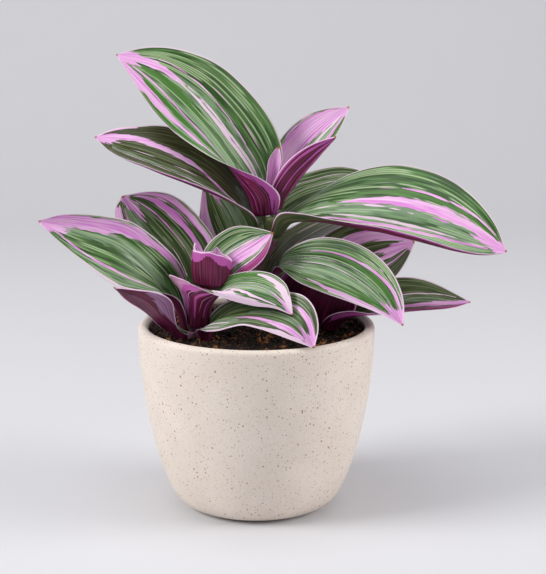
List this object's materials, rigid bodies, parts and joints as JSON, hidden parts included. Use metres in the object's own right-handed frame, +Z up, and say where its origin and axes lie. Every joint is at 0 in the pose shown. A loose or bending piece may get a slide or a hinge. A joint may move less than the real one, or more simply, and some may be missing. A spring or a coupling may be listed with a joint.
{
  "type": "potted tradescantia",
  "caption": "Tradescantia houseplant with pink, green and silver striped leaves, growing in a round speckled stoneware pot filled with dark potting soil.",
  "frame": {"origin": "centre of the pot's flat base, where it rests on the table", "axes": "+Z up, -Y towards the side the plant is shown from, +X to that side's right"},
  "size_m": [0.228, 0.144, 0.2324],
  "materials": {
    "stoneware": "matte, beige with fine brown specks",
    "potting_soil": "rough, dark brown crumbs of coir and bark",
    "stem": "satin, purple brown with green joints",
    "leaf": "satin, green, silver and pink stripes above and purple below",
    "young_leaf": "satin, mostly pink and magenta"
  },
  "bodies": {
    "root": {"pot": "stoneware", "soil": "potting_soil", "main_stem": "stem", "left_stem": "stem", "right_stem": "stem", "leaf_top_left": "leaf", "leaf_left": "leaf", "leaf_right": "leaf", "leaf_right_back": "leaf", "leaf_top_pink": "young_leaf", "leaf_top_folded": "young_leaf", "leaf_top_bud": "young_leaf", "leaf_behind_stem": "leaf", "leaf_right_front": "leaf", "leaf_right_arching": "leaf", "leaf_left_low_side": "leaf", "leaf_front_funnel": "leaf", "leaf_far_left": "leaf", "leaf_left_upright": "leaf", "leaf_middle": "leaf", "leaf_rolled_bud": "young_leaf", "leaf_front_low": "leaf", "leaf_right_low": "leaf", "leaf_right_shaded": "young_leaf", "leaf_right_upright": "leaf", "leaf_back_left": "leaf", "leaf_back": "leaf", "leaf_back_right": "leaf"}
  },
  "joints": []
}
